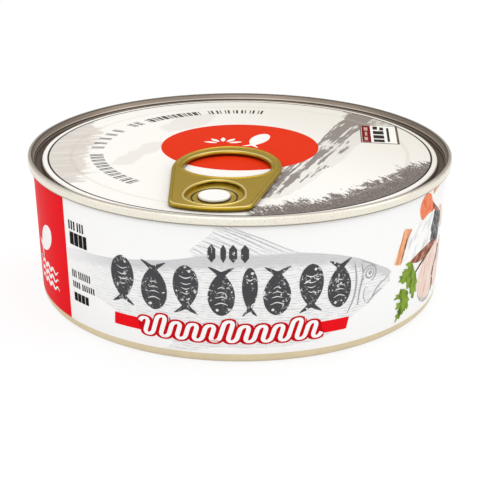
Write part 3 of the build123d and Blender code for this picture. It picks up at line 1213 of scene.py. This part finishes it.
class RibbonOperator(Operator):
    """Prints the red ribbon and the white wave that runs along it"""

    bl_idname = "tin.print_ribbon"
    bl_label = "Ribbon and wave"

    start, end, waves = -22.9, 18.9, 11
    lean, level = 0.3, 7.5

    def execute(self, context):
        band = [(-29.6, 6.1), (24.9, 6.1), (25.5, 8.9), (-29.4, 8.9)]
        wall_print("ribbon_band", [band], ink_finish("ribbon_red", "red"), 4)
        wall_print("wave_outline", [self.cloud()], ink_finish("outline_red", "deep_red"), 5)
        wall_print("wave_line", [self.line()], ink_finish("wave_white", "white", mottle=0.02), 6, 0.9)
        return {"FINISHED"}

    def crests(self):
        """(left edge, width, height) of each wave: every fourth one stands taller."""
        pitch = (self.end - self.start) / self.waves
        return [(self.start + k * pitch, pitch, 10.4 if k % 4 == 1 else 9.3) for k in range(self.waves)]

    def line(self):
        """Wave of rounded crests and troughs, leaning to the right."""
        middle = []
        for left, pitch, height in self.crests():
            r = pitch / 4
            middle += arc(left + r, height - r, r, r, math.pi, 0, 9)
            middle += arc(left + 3 * r, 5.6 + r, r, r, math.pi, math.tau, 9)
        leaning = [(x + (z - self.level) * self.lean, z) for x, z in middle]
        return widened(leaning, lambda part, along: 0.3 + 0.22 * abs(along.y))

    def cloud(self):
        """Scalloped outline round the wave."""
        top, low = [], []
        for left, pitch, height in self.crests():
            swing = pitch / 2 * 0.98
            crest = left + pitch / 4 + (height - self.level) * self.lean
            hollow = left + pitch * 0.75 - 2.0 * self.lean
            top += arc(crest, height - 0.35, swing, 1.0, math.pi, 0, 10)
            low += arc(hollow, 5.75, -swing, -0.85, math.pi, 0, 10)
        return sorted(top) + sorted(low, reverse=True)


class StripOperator(Operator):
    """Prints the red strip with its white mark, and the small black bars beside it"""

    bl_idname = "tin.print_strip"
    bl_label = "Strip and bars"

    # (low, high, pitch of thin bars or None for solid blocks, words)
    rows = (
        (25.2, 27.3, 0.8, ((-43.4, -40.6), (-40.2, -37.6))),
        (21.6, 24.6, None, ((-43.2, -41.8), (-41.5, -40.1), (-39.8, -38.6), (-38.3, -37.2))),
        (13.6, 15.4, 0.75, ((-43.3, -41.3), (-40.9, -36.4))),
        (11.1, 12.6, 0.75, ((-43.2, -40.2), (-39.7, -35.2))),
        (7.8, 9.8, None, ((-43.0, -41.9), (-41.6, -40.5), (-40.2, -39.1), (-38.8, -37.8))),
    )

    def execute(self, context):
        wall_print("side_strip", [block(-95.0, 2.5, -45.2, 32.5)], ink_finish("strip_red", "red"))
        white = ink_finish("strip_white", "white", mottle=0.02)
        wall_print("strip_mark", self.mark(-57.5, 18.0), white, 2, 0.9)
        wall_print("text_bars", self.bars(), ink_finish("bar_black", "black", worn=0.12), 3)
        return {"FINISHED"}

    def mark(self, s, z):
        """Plain leaping fish over three waves."""
        loops = [placed(flowing([(u * 2.7, v * 11.5 - 6) for u, v in SARDINE], steps=4), s, z, -0.9)]
        for row in range(3):
            level = z - 6.6 - row * 2.0
            wave = [(s - 7 + k * 0.5, level + 0.55 * math.sin(k * 0.95 + row)) for k in range(29)]
            loops.append(stroke(wave, 0.95, 0.2))
        return loops

    def bars(self):
        """Short bars in the place of small print."""
        loops = []
        for low, high, pitch, words in self.rows:
            for start, end in words:
                count = max(2, round((end - start) / pitch)) if pitch else 1
                step = (end - start) / count
                wide = step * 0.45 if pitch else step
                loops += [block(start + k * step, low, start + k * step + wide, high) for k in range(count)]
        return loops


# Each piece: layer, finish (name, light, dark, feature, turn, length, sharpness), loops
GARNISH = {
    "white_fillet": (2, ("white_flesh", "fbfaf8", "c3c7ca", 2.0, 0.8, 2, (0.45, 0.78)), [flowing([
        (41.3, 17.3), (42.7, 21.6), (43.6, 24.2), (46.2, 25.6), (50.8, 26.4), (55.1, 26.2), (56.2, 24.6),
        (55.0, 21.3), (54.9, 19.0), (49.4, 18.2), (44.4, 17.2)])]),
    "fish_skin": (3, ("skin_print", "9a9a9c", "141216", 0.8, 1.5, 2, (0.4, 0.54)), [flowing([
        (56.4, 25.8), (60.0, 25.0), (62.1, 23.1), (61.8, 21.0), (61.0, 17.2), (57.4, 17.9), (54.9, 19.0),
        (55.0, 20.8), (54.6, 22.0), (55.6, 24.2)])]),
    "carrot_slice": (3, ("carrot_print", "f38f62", "df5c30", 1.0, 0.4, 2, (0.4, 0.7)), [flowing([
        (48.8, 25.9), (47.5, 27.8), (47.4, 29.5), (48.3, 31.0), (49.8, 31.8), (51.3, 31.7), (52.8, 30.8),
        (53.8, 29.3), (54.6, 27.9), (55.2, 26.5), (52.9, 26.5), (50.6, 26.3)])]),
    "carrot_stick": (4, ("stick_print", "f3bd95", "dd8a58", 0.9, 1.2, 5), [
        [(38.4, 18.1), (39.1, 19.6), (39.9, 21.9), (40.5, 23.4), (41.0, 25.2), (41.6, 25.8), (44.2, 25.1),
         (43.4, 24.1), (42.5, 22.6), (42.0, 21.0), (41.2, 19.3), (40.7, 17.4)],
        [(54.2, 30.6), (57.2, 31.4), (59.8, 31.9), (57.6, 32.3), (54.4, 32.0)]]),
    "brown_edge": (5, ("brown_print", "c48a70", "6e2e16", 1.0, 0.4, 3, (0.38, 0.6)), [
        flowing([(44.8, 17.1), (49.0, 18.2), (54.9, 18.6), (59.5, 17.7), (56.2, 16.9), (52.3, 16.0),
                 (48.4, 15.8), (45.8, 16.4)]),
        swept([(43.9, 24.9), (42.7, 23.5), (42.1, 22.2), (41.6, 20.6), (41.1, 19.1), (40.7, 17.8)], 0.5),
        [(54.0, 28.9), (56.3, 27.3), (59.7, 25.4), (59.2, 24.9), (56.2, 26.2), (54.9, 27.0)]]),
    "pink_fillet": (3, ("pink_flesh", "f3e0d4", "d3a08e", 1.5, 1.35, 4, (0.38, 0.78)), [
        flowing([(50.3, 6.6), (49.0, 9.2), (49.2, 11.5), (49.8, 13.2), (51.6, 14.9), (54.0, 16.0),
                 (58.0, 16.9), (61.4, 16.6), (62.0, 13.6), (59.6, 11.2), (58.6, 9.6), (58.8, 7.2),
                 (58.6, 5.2), (55.9, 4.6), (52.9, 5.1)]),
        flowing([(63.4, 15.6), (68.0, 15.8), (70.0, 11.0), (66.5, 6.0), (61.5, 5.0), (60.0, 7.4),
                 (60.2, 9.8), (62.6, 11.6)]),
        [(60.6, 26.2), (63.4, 25.0), (67.0, 22.4), (67.6, 18.6), (63.6, 19.4), (62.6, 22.0)]]),
    "fillet_line": (5, ("line_brown", "7c4a3c", "2c1a15", 0.9, 1.4, 3), [
        swept([(47.6, 13.5), (49.7, 14.7), (51.8, 15.6), (54.1, 16.5), (58.0, 17.2)], 0.5),
        swept([(62.8, 15.4), (61.9, 13.0), (59.9, 11.2), (59.0, 8.6)], 0.6),
        swept([(59.2, 8.2), (59.5, 6.4), (58.6, 4.9)], 0.4)]),
    "fillet_tip": (2, ("tip_print", "d9d6d2", "a8a6a4", 0.9, 0.2, 3), [flowing([
        (49.8, 7.0), (51.5, 4.8), (53.9, 3.8), (56.4, 3.6), (58.0, 4.4), (58.4, 5.6), (54.0, 5.6)])]),
    "parsley_leaf": (6, ("leaf_print", "86a436", "2c4a12", 1.5, 1.2, 2, (0.42, 0.72)), [
        [(42.7, 17.0), (44.0, 17.1), (45.4, 16.7), (46.2, 15.5), (46.6, 14.5), (47.7, 13.3), (48.0, 12.1),
         (48.8, 10.8), (48.2, 10.2), (48.5, 8.3), (47.7, 8.6), (47.4, 7.0), (46.6, 7.4), (46.4, 8.9),
         (45.7, 8.7), (45.6, 9.9), (44.9, 10.9), (44.2, 10.4), (43.8, 11.3), (43.9, 12.1), (43.0, 12.6),
         (42.1, 12.3), (41.7, 12.8), (40.5, 13.3), (41.3, 13.9), (40.6, 14.5), (41.7, 14.5), (42.1, 14.7),
         (41.6, 15.4), (42.6, 15.4), (42.2, 15.9), (43.4, 15.6), (44.2, 15.4), (43.8, 16.1)],
        [(41.5, 11.2), (43.0, 10.8), (44.4, 10.0), (44.8, 9.2), (44.6, 8.6), (45.6, 7.3), (44.9, 7.0),
         (45.3, 5.8), (44.8, 5.1), (44.1, 6.1), (44.0, 5.0), (43.3, 5.2), (42.8, 4.4), (42.3, 4.7),
         (41.7, 3.7), (41.2, 4.1), (40.2, 3.3), (40.7, 4.3), (40.3, 4.9), (41.4, 5.2), (40.9, 5.7),
         (41.8, 6.3), (40.0, 6.6), (40.8, 7.3), (40.2, 8.0), (41.7, 7.8), (42.0, 8.4), (41.0, 9.0),
         (39.3, 9.2), (40.3, 9.7), (39.9, 10.2), (41.2, 10.1)]]),
}


class GarnishOperator(Operator):
    """Prints the serving picture at the right: fillets, carrot and parsley"""

    bl_idname = "tin.print_garnish"
    bl_label = "Garnish"

    def execute(self, context):
        for name, (layer, finish, loops) in GARNISH.items():
            wall_print(name, loops, flesh_finish(*finish), layer, 1.0)
        return {"FINISHED"}


# ---------------------------------------------------------------- print on the end

class LidPrintOperator(Operator):
    """Prints the red disc, its white mark, the ring of small marks and the card on the end"""

    bl_idname = "tin.print_lid"
    bl_label = "End print"

    # Small card: (piece, layer, ink, areas as shares of its width and height)
    card_corner, card_wide, card_tall = Vector((30.3, 7.9)), Vector((9.5, -1.6)), Vector((1.0, 15.6))
    card = (
        ("card_edge", 1, "6b6058", [(0, 0, 1, 1)]),
        ("card_ground", 2, "f7f4ee", [(0.03, 0.02, 0.94, 0.97)]),
        ("card_block", 3, "7f1518", [(0.04, 0.03, 0.27, 0.96)]),
        ("card_bars", 3, "332e2b", [
            (0.34, 0.06, 0.62, 0.2), (0.34, 0.26, 0.62, 0.44), (0.34, 0.5, 0.62, 0.68),
            (0.34, 0.76, 0.46, 0.92), (0.52, 0.72, 0.62, 0.88), (0.7, 0.1, 0.76, 0.86)]),
        ("card_flecks", 4, "c9a59c", [
            (0.1, 0.12, 0.19, 0.3), (0.12, 0.38, 0.18, 0.6), (0.1, 0.68, 0.2, 0.86)]),
    )
    # Groups of bars round the panel: (first bearing, last bearing, number of pairs), in degrees
    groups = ((-44, -82, 11), (-92, -117, 5), (-127, -131, 2), (-137, -161, 11), (-167, -189, 7))

    def execute(self, context):
        lid_print("lid_disc", [oval(0, 4.2, 19.4, points=160)], ink_finish("disc_red", "disc", mottle=0.03))
        lid_print("lid_mark", self.mark(), ink_finish("mark_white", "panel", mottle=0.02), 2)
        lid_print("lid_ring_marks", self.ring_marks(), ink_finish("ring_black", "3a3634", worn=0.1))
        for name, layer, hue, areas in self.card:
            loops = [
                [tuple(self.card_corner + self.card_wide * u + self.card_tall * v) for u, v in block(*area)]
                for area in areas
            ]
            lid_print(name, loops, ink_finish(name + "_ink", hue, mottle=0.04), layer, 0.5)
        return {"FINISHED"}

    def mark(self):
        """Leaping fish and a splash of five drops."""
        fish = flowing([(u * 2.2, v * 12 - 6) for u, v in SARDINE], steps=4)
        drop = flowing([(1.5, 0), (3.2, 0.62), (4.9, 0), (3.2, -0.62)])
        drops = [placed(drop, -4.2, 6.6, math.radians(turn)) for turn in (15, 52, 90, 128, 165)]
        return [placed(fish, 4.6, 9.2, -0.35), *drops]

    def ring_marks(self):
        """Radial bars in five groups, a thick one beside a thin one."""
        inner, outer, hub = 33.3, 36.5, 1.3
        loops = []
        for first, last, count in self.groups:
            for index in range(count):
                middle = first + (last - first) * index / (count - 1)
                order = -1 if index % 3 == 1 else 1
                for turn, half in ((-0.7 * order, 0.42), (0.75 * order, 0.22)):
                    low, high = (math.radians(middle + turn + side) for side in (-half, half))
                    corners = ((inner, low), (outer, low), (outer, high), (inner, high))
                    loops.append([(r * math.sin(a), hub - r * math.cos(a)) for r, a in corners])
        return loops


# ---------------------------------------------------------------- sidebar and run

BUILD_ORDER = (
    StageOperator, BodyOperator, EndOperator, TabOperator, FishOperator, RowOperator,
    RibbonOperator, StripOperator, GarnishOperator, LidPrintOperator,
)


class TinPanel(Panel):
    """Lists the steps that build the tin, with its sizes and colours"""

    bl_idname = "VIEW3D_PT_sardine_tin"
    bl_label = "Sardine Tin"
    bl_space_type = "VIEW_3D"
    bl_region_type = "UI"
    bl_category = "Sardine Tin"

    def draw(self, context):
        for step in BUILD_ORDER:
            self.layout.operator(step.bl_idname)
        for group in (context.scene.tin_sizes, context.scene.tin_colours):
            column = self.layout.column()
            for name in group.__annotations__:
                column.prop(group, name)


CLASSES = (TinSizes, TinColours, *BUILD_ORDER, TinPanel)


def register():
    for each in CLASSES:
        bpy.utils.register_class(each)
    bpy.types.Scene.tin_sizes = PointerProperty(type=TinSizes)
    bpy.types.Scene.tin_colours = PointerProperty(type=TinColours)


def unregister():
    del bpy.types.Scene.tin_colours
    del bpy.types.Scene.tin_sizes
    for each in reversed(CLASSES):
        bpy.utils.unregister_class(each)


def main():
    register()
    for step in BUILD_ORDER:
        family, name = step.bl_idname.split(".")
        getattr(getattr(bpy.ops, family), name)()


if __name__ == "__main__":
    main()
